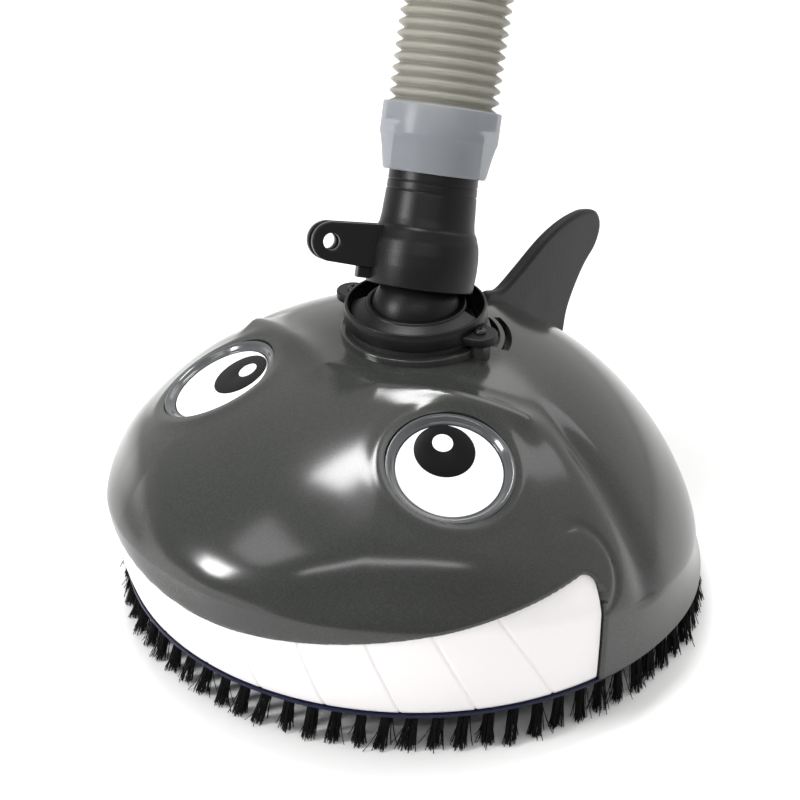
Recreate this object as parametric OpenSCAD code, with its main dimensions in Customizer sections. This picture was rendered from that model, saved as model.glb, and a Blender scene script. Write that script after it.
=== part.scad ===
// Pool cleaner head: a domed suction cleaner with an animal face, on a ring of bristles.
// A tilting swivel neck on its crown carries the hose.
// The origin is on the floor under the dome's axis. +Z is up and the face looks along -Y.

/* [Head] */
// Radius of the dome at its bottom edge, at the front
rim_r = 135; // [133:0.5:137]
// Height of the dome's bottom edge above the floor, which is how far the bristles reach down
rim_z = 18; // [17:0.5:20]
// Height of the crown above the floor
crown_z = 128.3; // [127:0.1:129]
// Wall thickness of the dome
wall = 3; // [2.5:0.5:3.5]
// How far the snout stands out beyond the plain dome
snout_out = 7; // [5:0.5:9]

/* [Face] */
// Half of the angle that the mouth takes up, seen from above
mouth_half = 71.5; // [66:0.5:74]
// Height of the lip above the floor at the middle of the mouth
lip_z = 55; // [52:0.1:58]
// Outer radius of an eye's ring
eye_r = 27.6; // [26:0.1:28]
// Angle of each eye from straight ahead
eye_turn = 45; // [42:1:46]

/* [Bristles] */
// Number of tufts
tufts = 76; // [60:1:80]
// Radius of a tuft
tuft_r = 2.4; // [2:0.1:2.8]
// Outward splay of the tufts
tuft_splay = 11; // [6:1:14]
// Sideways lean of the tufts
tuft_lean = 9; // [0:1:12]

/* [Neck] */
// Height of the ball's centre above the floor
ball_z = 137; // [136.5:0.1:137.5]
// Radius of the ball
ball_r = 20; // [19.8:0.1:20]
// Backward tilt of the neck as it stands
neck_tilt = 25; // [0:1:30]
// Turn of the swivel as it stands
swivel_turn = 18; // [0:1:360]
// Radius of the hose spigot
spigot_r = 19.75; // [19:0.05:19.75]

/* [Hose] */
// Outer diameter of the hose over its ridges
hose_d = 48.5; // [46:0.5:48.5]
// Inner diameter of the hose
hose_bore = 38; // [36:0.5:40]

/* [Drive] */
// Height of the turbine's axis above the floor
drive_z = 64; // [63:0.5:65]
// Tooth size of the two gears
gear_m = 1.2; // [1.2:0.01:1.2]
// Teeth on the pinion
pinion_teeth = 18; // [18:1:18]
// Teeth on the eccentric gear
wheel_teeth = 54; // [54:1:54]

/* [Hidden] */
$fn = 96;
eps = 0.05;

// The dome's back is a little slimmer than its front
back_rim_r = rim_r - 3.5;
back_r = rim_r - 8.5;
front_more = 15.5;
snout_width = 36;
belly_low = 6;
belly_more = 46;
side_round = 2.6;
top_round = 1.4;
cols = 72;
upper_rows = 15;
lower_rows = 4;

// Mouth
tooth_inset = 2;
tooth_thick = 2.4;
mouth_corner = 9;
groove_angles = [5.3, 16, 27.5, 39, 51.5];
groove_slant = 1.2;

// Ends of each brow ridge, seen from above
brow_in = [15, -47];
brow_out = [72, -22];

// Eyes, on the chord plane that the dome passes through
eye_rho = 87.8;
eye_z = 110;
eye_tilt = 25.4;
eye_twist = 4;
white_r = 23.2;
pupil_r = 13;
pupil_up = 9.6;
glint_r = 4.4;
glint_up = 13.4;

// Turret
hole_r = 28;
boss_r = 33.2;
boss_top = 130.6;
flange_r = 31.8;
flange_top = 142;
flange_low = 133.8;
dish_z = 131;
dish_r = 27.6;
dish_top_r = 30.2;
ear_rho = 34.5;
ear_r = 7.5;
collar_r = 22.5;
socket_r = ball_r + 0.3;
passage_r = 13;

// Sloping brim on the collar, on the side that the neck leans away from
brim = [[21.5, 136.5], [28.2, 136.5], [28.8, 138.8], [21.5, 142.3]];

// Neck, measured along its own axis from the ball's centre
bell_low = 11;
spigot_top = 80;
cuff_low = 61;
cuff_ledge = 80.5;
hose_start = 82.5;
lug_along = 26.7;
lug_out = 43;
lug_turn = 210;
lug_r = 8.6;
lug_hole_r = 3.7;
lug_gap = 6;
lug_thick = 4;

// Drive
pinion_r = gear_m * pinion_teeth / 2;
wheel_r = gear_m * wheel_teeth / 2;
wheel_y = -(pinion_r + wheel_r);
backlash = 0.3;
shaft_r = 3;
run_fit = 0.05;
case_r = 37;
case_wall = 2.5;
case_half = 24;
throat_r = 20;
throat_wall = 3;
plate_r = 121.5;
plate_thick = 4;
ring_thick = 1.4;
screw_turns = [-150, -95, -32, 32, 95, 150];

// The hose's middle line, along the neck's axis, with the slack of a hose that is held up at its far end
hose_route = [
    [0, 0, 82.5], [0, 0, 105], [0, 0.5, 125], [0, 1.5, 145], [0, 2.5, 165], [0, 3.5, 185], [0, 4.5, 205],
    [0, 5, 225], [0, 5, 245], [0, 5, 265], [0, 4.5, 285], [0, 3.5, 305], [0, 2.5, 325], [0, 1.5, 345],
    [0, 0.5, 365], [0, 0, 385], [0, 0, 402.5]
];
hose_end = 402.5;

// ---- Shape of the dome ----
function ease(t) = let (u = max(0, min(1, t))) u * u * (3 - 2 * u);
function frontness(a) = pow((1 + cos(a)) / 2, 1.2);
function rim_at(a) = back_rim_r + (rim_r - back_rim_r) * ease((cos(a) + 0.7) / 0.55);
function side_at(a) = back_r + front_more * frontness(a) + snout_out * exp(-pow(a / snout_width, 2));
function belly_at(a) = rim_z + belly_low + belly_more * frontness(a);
function high_r(a, z) = side_at(a)
    * pow(max(0, 1 - pow(max(0, (z - belly_at(a)) / (crown_z - belly_at(a))), top_round)), 1 / side_round);
function low_r(a, z) = side_at(a)
    - (side_at(a) - rim_at(a)) * pow(max(0, belly_at(a) - z) / (belly_at(a) - rim_z), 2);
function skin_r(a, z) = z >= belly_at(a) ? high_r(a, z) : low_r(a, z);
function polar(r, a, z) = [r * sin(a), -r * cos(a), z];

// The dome again, by step s: 0 at the crown, 1 at the widest line, 2 at the bottom edge
function dome_pt(a, s) = s <= 1
    ? polar(side_at(a) * pow(sin(90 * s), 2 / side_round), a,
        belly_at(a) + (crown_z - belly_at(a)) * pow(cos(90 * s), 2 / top_round))
    : let (z = belly_at(a) - (belly_at(a) - rim_z) * (s - 1)) polar(low_r(a, z), a, z);

// A brow ridge over each eye and a shallow fold behind each cheek
function brow(p) = let (
        q = [abs(p[0]), p[1]] - brow_in,
        way = brow_out - brow_in,
        t = max(0, min(1, (q * way) / (way * way))),
        off = norm(q - t * way)
    ) (2 + 2 * ease(2 * t)) * exp(-pow(off / 8, 2));
function fold(a, s) = -3 * exp(-pow((abs(a) - 84) / 4, 2))
    * ease((s - 0.25) / 0.2) * ease((1.15 - s) / 0.3);
function unit(v) = v / norm(v);
function bare_normal(a, s) = unit(cross(dome_pt(a + 0.5, s) - dome_pt(a - 0.5, s),
    dome_pt(a, s - 0.01) - dome_pt(a, s + 0.01)));
function skin_pt(a, s, inset) = let (p = dome_pt(a, s), n = bare_normal(a, s))
    p + n * (brow(p) * ease((1 - s) / 0.2) + fold(a, s) - inset);
function level(p, z) = [p[0], p[1], z];

// A closed solid between an outer and an inner sheet of points, open all round or not
module sheet_solid(outer, inner, round) {
    rows = len(outer);
    n = len(outer[0]);
    last = round ? n : n - 1;
    pts = concat([for (r = outer) each r], [for (r = inner) each r]);
    function o(i, j) = i * n + j % n;
    function q(i, j) = rows * n + i * n + j % n;
    function quad(a, b, c, d) = [[a, b, c], [a, c, d]];
    polyhedron(pts, concat(
        [for (i = [0:rows - 2], j = [0:last - 1])
            each quad(o(i, j), o(i, j + 1), o(i + 1, j + 1), o(i + 1, j))],
        [for (i = [0:rows - 2], j = [0:last - 1])
            each quad(q(i, j), q(i + 1, j), q(i + 1, j + 1), q(i, j + 1))],
        [for (j = [0:last - 1]) each quad(o(0, j), q(0, j), q(0, j + 1), o(0, j + 1))],
        [for (j = [0:last - 1])
            each quad(o(rows - 1, j), o(rows - 1, j + 1), q(rows - 1, j + 1), q(rows - 1, j))],
        [for (i = [0:rows - 2]) if (!round) each quad(o(i, 0), o(i + 1, 0), q(i + 1, 0), q(i, 0))],
        [for (i = [0:rows - 2]) if (!round)
            each quad(o(i + 1, n - 1), o(i, n - 1), q(i, n - 1), q(i + 1, n - 1))]
    ), convexity = 6);
}

function steps() = concat([for (i = [0:upper_rows]) 0.06 + 0.94 * i / upper_rows],
    [for (i = [1:lower_rows]) 1 + i / lower_rows]);
function turns(k) = [for (j = [0:k - 1]) -180 + 360 * j / k];
function shell_sheet(inset) = [for (s = steps()) [for (a = turns(cols))
    let (p = skin_pt(a, min(s, 1.99), inset))
    s >= 2 ? level(p, rim_z) : level(p, max(p[2], rim_z + 2 * (2 - s)))]];

// A plain solid block under the skin, to trim what stands on the dome or reaches up to it
module skin_block(turn, half, s0, s1, inset, depth) {
    a_list = [for (k = [0:8]) turn - half + half * k / 4];
    s_list = [for (s = steps()) if (s >= s0 && s <= s1) s];
    sheet_solid([for (s = s_list) [for (a = a_list) skin_pt(a, s, inset)]],
        [for (s = s_list) [for (a = a_list) skin_pt(a, s, inset + depth)]], false);
}

// ---- Mouth ----
function mouth_top(a) = let (past = max(0, (abs(a) - (mouth_half - 4)) / 4))
    lip_z + 0.27 * (sqrt(a * a + 64) - 8) - mouth_corner * (1 - sqrt(max(0, 1 - past * past)));
function mouth_sheet(half, low, rise, inset, rows) = [for (i = [rows:-1:0]) [for (k = [-24:24])
    let (
        a = half * k / 24,
        top = mouth_top(max(-mouth_half, min(mouth_half, a))) + rise,
        z = low + (top - low) * i / rows
    )
    polar(skin_r(a, z) - inset, a, z)]];
module mouth_cutter() sheet_solid(mouth_sheet(mouth_half, rim_z - 4, 0, -8, 4),
    mouth_sheet(mouth_half, rim_z - 4, 0, 9, 4), false);

module at_eye(side) rotate([0, 0, side * eye_turn]) translate([0, -eye_rho, eye_z])
    rotate([0, 0, side * eye_twist]) rotate([eye_tilt, 0, 0]) children();
module both_eyes() for (side = [-1, 1]) at_eye(side) children();
module ring(r_in, r_out, z0, z1) rotate_extrude() translate([r_in, z0]) square([r_out - r_in, z1 - z0]);

// Two curved slots on each side of the turret
module vent_slots() for (side = [-1, 1], rho = [36, 41.2]) rotate([0, 0, side * 130 - 90])
    intersection() {
        ring(rho - 1.6, rho + 1.6, 110, 140);
        linear_extrude(200) polygon([[0, 0], [60, -26], [60, 26]]);
    }

// Screw posts that grow out of the inside of the wall
module shell_bosses() intersection() {
    for (a = screw_turns) rotate([0, 0, a]) translate([0, -116, rim_z + plate_thick]) difference() {
        cylinder(r = 4.5, h = 90);
        translate([0, 0, -1]) cylinder(r = 1.6, h = 17, $fn = 24);
    }
    sheet_solid([for (s = [0.05:0.19:1]) [for (a = turns(36)) skin_pt(a, s, 1.2)]],
        [for (s = [0.05:0.19:1]) [for (a = turns(36)) level(skin_pt(a, s, 1.2) * 0.5, rim_z)]], true);
}

module upper_shell() color([0.2, 0.21, 0.22]) difference() {
    union() {
        sheet_solid(shell_sheet(0), shell_sheet(wall), true);
        translate([0, 0, 120]) cylinder(r = boss_r, h = boss_top - 120);
        for (x = [-1, 1]) translate([x * ear_rho, 0, 118]) rotate([0, 0, 37]) cylinder(r = 4.5, h = flange_low - 118);
        shell_bosses();
    }
    translate([0, 0, 90]) cylinder(r = hole_r, h = 60);
    for (x = [-1, 1]) translate([x * ear_rho, 0, 110]) cylinder(r = 1.6, h = 40, $fn = 24);
    mouth_cutter();
    both_eyes() translate([0, 0, -12]) cylinder(r = eye_r, h = 40);
    vent_slots();
}

module mouth_panel() color([0.07, 0.07, 0.08])
    sheet_solid(mouth_sheet(mouth_half + 3, rim_z, 4, 5.2, 5), mouth_sheet(mouth_half + 3, rim_z, 4, 7.2, 5), false);

// A narrow groove that slants more the further it is from the middle of the face
module tooth_groove(a) {
    function groove_sheet(inset) = [for (z = [74:-7:11])
        let (turn = a * (1 + (groove_slant - 1) * (60 - z) / (60 - rim_z)), half = 0.17)
        [for (k = [-half, half]) polar(skin_r(turn, max(rim_z, z)) - inset, turn + k, z)]];
    sheet_solid(groove_sheet(0), groove_sheet(tooth_inset + 0.8), false);
}
module tooth_band() color([0.93, 0.93, 0.92]) difference() {
    sheet_solid(mouth_sheet(mouth_half - 0.5, rim_z, -0.9, tooth_inset, 4),
        mouth_sheet(mouth_half - 0.5, rim_z, -0.9, tooth_inset + tooth_thick, 4), false);
    for (side = [-1, 1], a = groove_angles) tooth_groove(side * a);
}

module eye_bezels() color([0.3, 0.31, 0.33]) both_eyes() rotate_extrude()
    polygon([[white_r, -3.6], [eye_r, -3.6], [eye_r, 0], [eye_r - 0.7, 0.8], [eye_r - 1.6, 0.6], [white_r, -1.4]]);
module eye_whites() color([0.95, 0.95, 0.95]) both_eyes() translate([0, 0, -3.6]) cylinder(r = white_r, h = 1.9);
module eye_pupils() color([0.03, 0.03, 0.03]) both_eyes() translate([0, pupil_up, -1.7]) cylinder(r = pupil_r, h = 0.4);
module eye_glints() color([0.97, 0.97, 0.97]) both_eyes() translate([0, glint_up, -1.3]) cylinder(r = glint_r, h = 0.3);

module fin_outline() polygon([
    [50, 108], [54, 123], [66, 121], [82, 125.5], [102, 132.5], [118, 135.2], [133, 134.8], [143, 132.2], [150, 128.5],
    [153.5, 123], [153.5, 117], [149, 110], [139, 103.5], [130, 94], [124.5, 85], [121.5, 73], [115, 62]
]);
module dorsal_fin() color([0.06, 0.06, 0.06]) difference() {
    rotate([90, 0, 90]) linear_extrude(7, center = true) fin_outline();
    skin_block(180, 10, 0.1, 2, 0, 40);
}
module fin_screws() color([0.6, 0.6, 0.62]) for (y = [72, 98]) translate([0, y, 0]) {
    translate([0, 0, y < 80 ? 104 : 90]) cylinder(r = 3.2, h = 2, $fn = 32);
    translate([0, 0, y < 80 ? 106 : 92]) cylinder(r = 1.6, h = 12, $fn = 24);
}

module turret_flange() color([0.05, 0.05, 0.05]) difference() {
    union() {
        rotate_extrude() polygon([
            [collar_r, 121], [hole_r - 0.1, 121], [hole_r - 0.1, flange_low], [flange_r, flange_low],
            [flange_r, 139.5], [flange_r - 0.3, flange_top], [collar_r, flange_top]
        ]);
        for (x = [-1, 1]) translate([x * ear_rho, 0, flange_low]) cylinder(r = ear_r, h = 4);
    }
    for (x = [-1, 1]) translate([x * ear_rho, 0, 120]) cylinder(r = 1.6, h = 30, $fn = 24);
    translate([0, 0, dish_z]) cylinder(r1 = dish_r, r2 = dish_top_r, h = flange_top - dish_z);
    translate([0, 0, 110]) cylinder(r = collar_r + 0.7, h = 40);
}
module flange_gasket() color([0.03, 0.03, 0.03]) ring(hole_r, ear_rho - 4.7, boss_top, flange_low);
module flange_screws() color([0.62, 0.62, 0.64]) for (x = [-1, 1]) translate([x * ear_rho, 0, 0]) {
    translate([0, 0, flange_low + 4]) cylinder(r = 2.6, h = 1.8);
    translate([0, 0, 120]) cylinder(r = 1.6, h = flange_low + 4 - 120, $fn = 24);
}

// ---- Underside ----
module base_plate() color([0.1, 0.1, 0.11]) difference() {
    union() {
        translate([0, 0, rim_z]) cylinder(r = plate_r, h = plate_thick);
        for (a = [0:45:315]) rotate([0, 0, a + 22.5]) translate([30, -1.5, rim_z - 2.5]) cube([76, 3, 2.5]);
    }
    cylinder(r = throat_r + throat_wall, h = 60);
    for (a = screw_turns) rotate([0, 0, a]) translate([0, -116, 0]) cylinder(r = 1.6, h = 60, $fn = 24);
}
module base_screws() color([0.62, 0.62, 0.64]) for (a = screw_turns) rotate([0, 0, a]) translate([0, -116, 0]) {
    translate([0, 0, rim_z - ring_thick]) cylinder(r = 1.6, h = 22, $fn = 24);
    translate([0, 0, rim_z - ring_thick - 1.6]) cylinder(r = 3.2, h = 1.6);
}
module ring_outline(less) polygon([for (a = turns(cols)) [(rim_at(a) - less) * sin(a), -(rim_at(a) - less) * cos(a)]]);
module brush_ring() color([0.04, 0.04, 0.07]) difference() {
    translate([0, 0, rim_z - ring_thick]) linear_extrude(ring_thick) difference() {
        ring_outline(1);
        circle(r = 110);
    }
    for (a = screw_turns) rotate([0, 0, a]) translate([0, -116, 0]) cylinder(r = 1.6, h = 60, $fn = 24);
}
module bristle_tufts() color([0.03, 0.03, 0.03]) {
    top = rim_z - 0.75;
    slope = cos(tuft_splay) * cos(tuft_lean);
    long = (top - tuft_r * sqrt(1 - slope * slope)) / slope;
    for (i = [0:tufts - 1]) rotate([0, 0, 360 * (i + 0.5) / tufts])
        translate([0, -(rim_at(360 * (i + 0.5) / tufts) - 4.4), top])
        rotate([-tuft_splay, 0, 0]) rotate([0, -tuft_lean, 0]) translate([0, 0, -long])
            cylinder(r = tuft_r, h = long, $fn = 24);
}
module suction_throat() color([0.15, 0.15, 0.16]) difference() {
    union() {
        translate([0, 0, 9]) cylinder(r = throat_r + throat_wall, h = 18.5);
        translate([0, 0, rim_z - 2.5]) cylinder(r = throat_r + throat_wall + 4, h = 2.5);
    }
    cylinder(r = throat_r, h = 40);
    for (a = [0:45:135]) rotate([0, 0, a]) cube([80, 9, 26], center = true);
}

// ---- Drive ----
module on_axle(y) translate([0, y, drive_z]) rotate([90, 0, 90]) children();
module turbine_case() difference() {
    union() {
        on_axle(0) cylinder(r = case_r, h = 2 * case_half, center = true);
        translate([0, 0, 23]) cylinder(r = 26, h = 20);
        translate([0, 0, 88]) cylinder(r = 18, h = 16);
    }
    on_axle(0) cylinder(r = case_r - case_wall, h = 2 * (case_half - case_wall), center = true);
    on_axle(0) cylinder(r = 6, h = 80, center = true);
    cylinder(r = throat_r + 1, h = drive_z);
    cylinder(r = throat_r + throat_wall, h = 27.5);
    translate([0, 0, drive_z]) cylinder(r = passage_r + 0.5, h = 60);
    translate([0, 0, 98]) cylinder(r = 16, h = 10);
}
module turbine_case_left() color([0.45, 0.46, 0.48]) intersection() {
    turbine_case();
    translate([-60, -60, 0]) cube([60, 120, 120]);
}
module turbine_case_right() color([0.5, 0.51, 0.53]) intersection() {
    turbine_case();
    translate([0, -60, 0]) cube([60, 120, 120]);
}
module turbine_rotor() color([0.85, 0.5, 0.1]) on_axle(0) difference() {
    union() {
        cylinder(r = 8, h = 38, center = true);
        for (a = [0:60:300]) rotate([0, 0, a]) translate([0, -1.2, -19]) cube([31, 2.4, 38]);
        for (a = [0:60:300]) rotate([0, 0, a]) translate([28.6, 0, -19]) rotate([0, 0, 35]) cube([2.4, 6, 38]);
    }
    cylinder(r = shaft_r, h = 60, center = true);
}
module turbine_shaft() color([0.75, 0.76, 0.78]) on_axle(0) translate([0, 0, -29]) cylinder(r = shaft_r, h = 69);
module shaft_bushes() color([0.8, 0.62, 0.25]) on_axle(0) for (side = [-1, 1])
    translate([0, 0, side * 24]) difference() {
        cylinder(r = 6, h = 5, center = true);
        cylinder(r = shaft_r + run_fit, h = 20, center = true);
    }

// Involute teeth, thinned by the backlash
function inv(t) = tan(t) * 180 / PI - t;
function half_tooth(z, r) = let (rp = gear_m * z / 2, rb = rp * cos(20), at = acos(min(1, rb / max(r, rb))))
    90 / z - backlash / 2 / rp * 90 / PI + inv(20) - inv(at);
module gear_2d(z) {
    rp = gear_m * z / 2;
    flank = [rp - 1.25 * gear_m, rp * cos(20), rp - 0.4 * gear_m, rp, rp + 0.5 * gear_m, rp + gear_m];
    radii = [for (r = flank) max(r, flank[0])];
    polygon([for (k = [0:z - 1]) each concat(
        [for (r = radii) [r * cos(360 * k / z - half_tooth(z, r)), r * sin(360 * k / z - half_tooth(z, r))]],
        [for (i = [5:-1:0]) let (r = radii[i])
            [r * cos(360 * k / z + half_tooth(z, r)), r * sin(360 * k / z + half_tooth(z, r))]]
    )]);
}
module drive_pinion() color([0.9, 0.9, 0.88]) on_axle(0) translate([0, 0, 29]) linear_extrude(10) difference() {
    gear_2d(pinion_teeth);
    circle(r = shaft_r);
}
module eccentric_gear() color([0.92, 0.92, 0.9]) on_axle(wheel_y) translate([0, 0, 30]) difference() {
    linear_extrude(8) difference() {
        rotate(180 / wheel_teeth) gear_2d(wheel_teeth);
        circle(r = shaft_r);
    }
    for (a = [0:60:300]) rotate([0, 0, a]) translate([19, 0, -1]) cylinder(r = 5, h = 10);
}
module eccentric_weight() color([0.55, 0.56, 0.58]) on_axle(wheel_y) translate([0, 0, 38]) difference() {
    cylinder(r = 30, h = 12);
    translate([-40, 5, -1]) cube([80, 40, 14]);
    translate([0, 0, -1]) cylinder(r = shaft_r, h = 14);
}
module gear_shaft() color([0.75, 0.76, 0.78]) on_axle(wheel_y) translate([0, 0, 25.5]) cylinder(r = shaft_r, h = 32);
module gear_frame() color([0.3, 0.3, 0.32]) difference() {
    union() {
        translate([25.5, wheel_y - 7, rim_z + plate_thick]) cube([31.5, 14, 3]);
        for (x = [25.5, 53.5]) translate([x, wheel_y - 7, rim_z + plate_thick]) cube([3, 14, 50]);
    }
    on_axle(wheel_y) cylinder(r = shaft_r + run_fit, h = 80);
}
module outlet_tube() color([0.2, 0.2, 0.21]) ring(passage_r + 0.5, 16, 98, 114.4);
module float_ring() color([0.85, 0.85, 0.8]) ring(37, 54, 101, 112);
module ballast_plate() color([0.5, 0.5, 0.52]) translate([-40, -104, rim_z + plate_thick]) cube([80, 20, 7]);

// ---- Swivel ----
module swivel_collar() color([0.07, 0.07, 0.07]) difference() {
    union() {
        translate([0, 0, 115]) cylinder(r = collar_r, h = 27.5);
        translate([0, 0, 115]) cylinder(r = 27, h = 4);
        rotate([0, 0, swivel_turn + 182]) rotate_extrude(angle = 176) polygon(brim);
    }
    translate([0, 0, ball_z]) sphere(r = socket_r);
    translate([0, 0, ball_z]) cylinder(r = socket_r, h = 20);
    translate([0, 0, 100]) cylinder(r = passage_r, h = 40);
    on_swivel() rotate([0, 90, 0]) cylinder(r = 2.6, h = 80, center = true, $fn = 48);
}
module bearing_ring() color([0.9, 0.9, 0.88]) ring(collar_r, 27, 119, 120.7);
module on_swivel() translate([0, 0, ball_z]) rotate([0, 0, swivel_turn]) children();
module trunnion_pins() color([0.75, 0.76, 0.78]) on_swivel() for (side = [-1, 1]) translate([side * 18.9, 0, 0])
    rotate([0, 90, 0]) cylinder(r = 2.6, h = 7, center = true, $fn = 48);
module on_neck() on_swivel() rotate([-neck_tilt, 0, 0]) children();

module neck_ball() color([0.05, 0.05, 0.05]) on_neck() difference() {
    union() {
        sphere(r = ball_r);
        cylinder(r = 14, h = 31);
    }
    translate([0, 0, -40]) cylinder(r = 11.5, h = 80);
    translate([0, 0, -40 - 14]) cylinder(r = 30, h = 40);
    rotate([0, 90, 0]) cylinder(r = 2.6 + run_fit, h = 80, center = true, $fn = 48);
}
module lug_plate() difference() {
    union() {
        translate([lug_out, 0]) circle(r = lug_r);
        polygon([[16, -9.4], [lug_out, -lug_r], [lug_out, lug_r], [16, 10.2]]);
    }
    translate([lug_out, 0]) circle(r = lug_hole_r);
}
module neck_body() color([0.07, 0.07, 0.07]) on_neck() difference() {
    union() {
        rotate_extrude() polygon([
            [14, 22.5], [21.7, 20], [21.7, bell_low], [23.7, bell_low], [24.3, 18], [24.4, 25], [23.8, 31], [23, 33],
            [22, 36.5], [21, 38.5], [20.7, 41], [20.2, 50], [spigot_r, 60], [spigot_r, spigot_top], [15, spigot_top],
            [15, 31], [14, 31]
        ]);
        rotate([0, 0, lug_turn]) for (y = [-lug_gap / 2 - lug_thick, lug_gap / 2])
            translate([0, y + lug_thick, lug_along]) rotate([90, 0, 0]) linear_extrude(lug_thick) lug_plate();
        rotate([0, 0, lug_turn]) translate([20, -3.5, 12.5]) cube([9, 7, 6]);
    }
    translate([0, 0, 22.4]) cylinder(r = 14, h = 9);
    translate([0, 0, 31]) cylinder(r = 15, h = 60);
    translate([0, 0, 5]) cylinder(r = 21.7, h = 15);
    translate([0, 0, 72]) rotate_extrude() translate([spigot_r - 0.9, 0]) square([2, 2.4]);
}
module cuff_seal() color([0.03, 0.03, 0.03]) on_neck() ring(spigot_r - 0.9, spigot_r - eps, 72, 74.4);

// ---- Hose ----
module cuff_shape(low, flare, socket, back) rotate_extrude() polygon([
    [spigot_r + 0.07, low], [22.6, low], [26.1, flare], [26.1, socket + 8], [hose_d / 2 + 0.1, socket + 8],
    [hose_d / 2 + 0.1, socket], [18, socket], [18, back], [spigot_r + 0.07, back]
]);
module hose_cuff() color([0.6, 0.64, 0.7, 0.8]) on_neck() cuff_shape(cuff_low, 81, hose_start, cuff_ledge);
module hose_end_cuff() color([0.6, 0.64, 0.7, 0.8]) on_neck() translate([0, 0, 2 * hose_end]) mirror([0, 0, 1])
    cuff_shape(hose_end - 30, hose_end - 6, hose_end, hose_end - 2);

// A hollow tube swept along the route
function way(i) = unit(hose_route[min(i + 1, len(hose_route) - 1)] - hose_route[max(i - 1, 0)]);
function hoop(i, r) = let (w = way(i), u = unit(cross([0, 1, 0], w)), v = cross(w, u))
    [for (k = [0:11]) hose_route[i] + r * (cos(30 * k) * u + sin(30 * k) * v)];
module hose() color([0.7, 0.7, 0.64, 0.8]) on_neck()
    sheet_solid([for (i = [len(hose_route) - 1:-1:0]) hoop(i, hose_d / 2)],
        [for (i = [len(hose_route) - 1:-1:0]) hoop(i, hose_bore / 2)], true);

upper_shell();
mouth_panel();
tooth_band();
eye_bezels();
eye_whites();
eye_pupils();
eye_glints();
dorsal_fin();
fin_screws();
turret_flange();
flange_gasket();
flange_screws();
base_plate();
base_screws();
brush_ring();
bristle_tufts();
suction_throat();
turbine_case_left();
turbine_case_right();
turbine_rotor();
turbine_shaft();
shaft_bushes();
drive_pinion();
gear_frame();
gear_shaft();
eccentric_gear();
eccentric_weight();
outlet_tube();
float_ring();
ballast_plate();
swivel_collar();
bearing_ring();
trunnion_pins();
neck_ball();
neck_body();
cuff_seal();
hose_cuff();
hose();
hose_end_cuff();
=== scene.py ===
import math
import random

import bmesh
import bpy
import numpy as np
from mathutils import Matrix, Vector


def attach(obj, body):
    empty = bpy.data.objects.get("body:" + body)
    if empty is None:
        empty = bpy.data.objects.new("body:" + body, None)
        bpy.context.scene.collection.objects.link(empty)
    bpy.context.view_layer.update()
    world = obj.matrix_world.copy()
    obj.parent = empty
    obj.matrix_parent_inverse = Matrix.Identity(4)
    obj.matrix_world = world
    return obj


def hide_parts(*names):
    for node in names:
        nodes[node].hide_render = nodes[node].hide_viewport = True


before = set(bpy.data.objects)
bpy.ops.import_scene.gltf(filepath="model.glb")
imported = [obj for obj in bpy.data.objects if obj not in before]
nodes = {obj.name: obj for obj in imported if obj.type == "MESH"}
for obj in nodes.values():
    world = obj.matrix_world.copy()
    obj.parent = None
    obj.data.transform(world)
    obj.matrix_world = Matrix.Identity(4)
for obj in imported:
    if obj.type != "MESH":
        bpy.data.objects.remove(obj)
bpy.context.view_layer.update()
print("frame in:", len(nodes), "nodes")

# the ball's centre in metres, then how far the neck is turned on the turret and leans back, in degrees
standSet = dict(ballZ=0.137, turn=18, tilt=-25)
neckFrame = (Matrix.Translation((0, 0, standSet["ballZ"]))
             @ Matrix.Rotation(math.radians(standSet["turn"]), 4, "Z")
             @ Matrix.Rotation(math.radians(standSet["tilt"]), 4, "X"))

cameraSet = dict(lens=101.25, sensor=36, near=0.05, place=(0.50986, -0.71355, 0.60408),
                 tilt=59.721, turn=36.0)


def aimCamera():
    cam = bpy.data.cameras.new("camera")
    cam.lens = cameraSet["lens"]
    cam.sensor_width = cameraSet["sensor"]
    cam.clip_start = cameraSet["near"]
    obj = bpy.data.objects.new("camera", cam)
    obj.location = cameraSet["place"]
    obj.rotation_euler = (math.radians(cameraSet["tilt"]), 0, math.radians(cameraSet["turn"]))
    bpy.context.collection.objects.link(obj)
    bpy.context.scene.camera = obj


# a point some metres from the head, by its turn from the face and its height above the horizon in degrees
def fromHead(az, el, far, lift=0.08):
    a, e = math.radians(az), math.radians(el)
    return (far * math.sin(a) * math.cos(e), -far * math.cos(a) * math.cos(e), lift + far * math.sin(e))


lightSet = dict(
    skyFront=0.28, skyBack=0.95,        # sky strength behind the viewer and behind the head
    skyFrom=-0.7, skyTo=0.8,            # where it starts and stops getting brighter
    skyTint=(1, 0.99, 0.975),
    floor=(0.93, 0.93, 0.93),
    boxes=dict(                         # each soft box: place, target and size in metres, then watts
        overLight=((0.2, 1.1, 1.6), (0, 0, 0), (1.6, 1.0), 11.0),
        snoutLight=(fromHead(-31, 24, 1.3), (0, -0.14, 0.08), (0.3, 0.3), 11.0),
        paneLight=(fromHead(-27, 49, 1.3), (0, -0.14, 0.08), (0.34, 0.4), 1.5),
        bandLight=(fromHead(38, 42, 1.6), (0.05, -0.1, 0.08), (1.5, 0.14), 5.0),
        browLight=(fromHead(-100, 79, 1.2), (0, 0, 0.1), (0.4, 0.24), 8.0),
    ),
)


def softLight(name, place, target, size, power):
    lamp = bpy.data.lights.new(name, "AREA")
    lamp.shape = "RECTANGLE"
    lamp.size, lamp.size_y = size
    lamp.energy = power
    obj = bpy.data.objects.new(name, lamp)
    obj.location = place
    obj.rotation_euler = (Vector(target) - Vector(place)).to_track_quat("-Z", "Y").to_euler()
    bpy.context.collection.objects.link(obj)


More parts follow.
